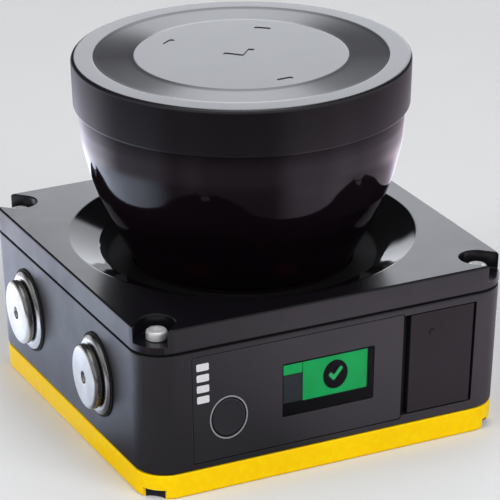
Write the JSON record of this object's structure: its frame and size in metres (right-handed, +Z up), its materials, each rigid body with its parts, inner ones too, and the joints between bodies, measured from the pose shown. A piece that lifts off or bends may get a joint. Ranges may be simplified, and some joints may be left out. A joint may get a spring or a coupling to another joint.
{
  "type": "compact laser scanner module",
  "caption": "Compact laser scanner with a square black housing on a yellow base, round dished lid, bowl-shaped dark optics cover, thick cap, front display and side connectors.",
  "frame": {"origin": "centre of the base plate's bottom face, on the mirror's scan axis", "axes": "+Z up along the scan axis towards the cap, -Y out of the display face, -X out of the connector face"},
  "size_m": [0.105, 0.1002, 0.08],
  "materials": {
    "yellow_paint": "satin powder coat",
    "steel": "zinc plated",
    "rubber": "matt",
    "print_white": "printed line",
    "black_plastic": "moulded",
    "cap_black": "semi-gloss moulded plastic",
    "nickel": "satin nickel plate",
    "display": "lit display",
    "window": "smoked gloss",
    "pcb": "solder resist",
    "panel_film": "fine-textured film",
    "black_paint": "semi-gloss fine-grain paint",
    "aluminium": "machined",
    "copper": "enamelled winding",
    "tinted_cover": "polished dark infrared-clear plastic",
    "glass": "clear",
    "led_red": "diffused",
    "mirror": "first surface"
  },
  "bodies": {
    "housing": {"base_plate": "yellow_paint", "base_screw_1": "steel", "base_screw_2": "steel", "base_screw_3": "steel", "base_screw_4": "steel", "base_seal": "rubber", "bearing_lower": "steel", "bearing_upper": "steel", "button_ring": "print_white", "button_switch": "black_plastic", "cap": "cap_black", "connector_body_1": "nickel", "connector_body_2": "nickel", "connector_insert_1": "black_plastic", "connector_insert_2": "black_plastic", "connector_seal_1": "rubber", "connector_seal_2": "rubber", "display_module": "display", "display_window": "window", "encoder_sensor": "black_plastic", "front_board": "pcb", "front_panel": "panel_film", "housing_shell": "black_paint", "laser_module": "aluminium", "led_board": "pcb", "lens_holder": "black_plastic", "lid": "black_paint", "lid_screw_1": "steel", "lid_screw_2": "steel", "lid_screw_3": "steel", "lid_screw_4": "steel", "lid_seal": "rubber", "main_board": "pcb", "motor_bracket": "aluminium", "motor_stator": "copper", "optics_cover": "tinted_cover", "optics_cover_seal": "rubber", "port_hinge_pin": "steel", "rear_spine": "black_plastic", "receiver_board": "pcb", "receiver_lens": "glass", "service_port": "nickel", "standoff_1": "steel", "standoff_2": "steel", "standoff_3": "steel", "standoff_4": "steel", "status_led_1": "led_red", "status_led_2": "led_red"},
    "rotor": {"motor_shaft": "steel", "rotor_bell": "steel", "encoder_disc": "glass", "mirror_carrier": "black_plastic", "scan_mirror": "mirror"},
    "push_button": {"push_button": "panel_film"},
    "port_cover": {"port_cover": "black_plastic"},
    "cap_gasket_1": {"cap_gasket_1": "rubber"},
    "connector_cap_1": {"connector_cap_1": "nickel"},
    "cap_gasket_2": {"cap_gasket_2": "rubber"},
    "connector_cap_2": {"connector_cap_2": "nickel"}
  },
  "joints": [
    {"name": "mirror_spin", "type": "hinge", "parent": "housing", "child": "rotor", "pos_m": [0, 0, 0.03], "axis": [0, 0, 1], "continuous": true},
    {"name": "button_press", "type": "slide", "parent": "housing", "child": "push_button", "axis": [0, 1, 0], "range_m": [0, 0.0006]},
    {"name": "cover_hinge", "type": "hinge", "parent": "housing", "child": "port_cover", "pos_m": [0.0397, -0.049, 0.0205], "axis": [0, 0, 1], "range_deg": [0, 100]},
    {"name": "cap_1_lift", "type": "slide", "parent": "housing", "child": "cap_gasket_1", "axis": [-1, 0, 0], "range_m": [0, 0.004]},
    {"name": "cap_1_unscrew", "type": "hinge", "parent": "cap_gasket_1", "child": "connector_cap_1", "pos_m": [-0.0522, 0.0243, 0.021], "axis": [-1, 0, 0], "range_deg": [0, 1440]},
    {"name": "cap_2_lift", "type": "slide", "parent": "housing", "child": "cap_gasket_2", "axis": [-1, 0, 0], "range_m": [0, 0.004]},
    {"name": "cap_2_unscrew", "type": "hinge", "parent": "cap_gasket_2", "child": "connector_cap_2", "pos_m": [-0.0522, -0.0206, 0.021], "axis": [-1, 0, 0], "range_deg": [0, 1440]}
  ],
  "couplings": [
    {"joint": "cap_1_lift", "follows": "cap_1_unscrew", "m_per_rad": 0.00015914},
    {"joint": "cap_2_lift", "follows": "cap_2_unscrew", "m_per_rad": 0.00015914}
  ]
}
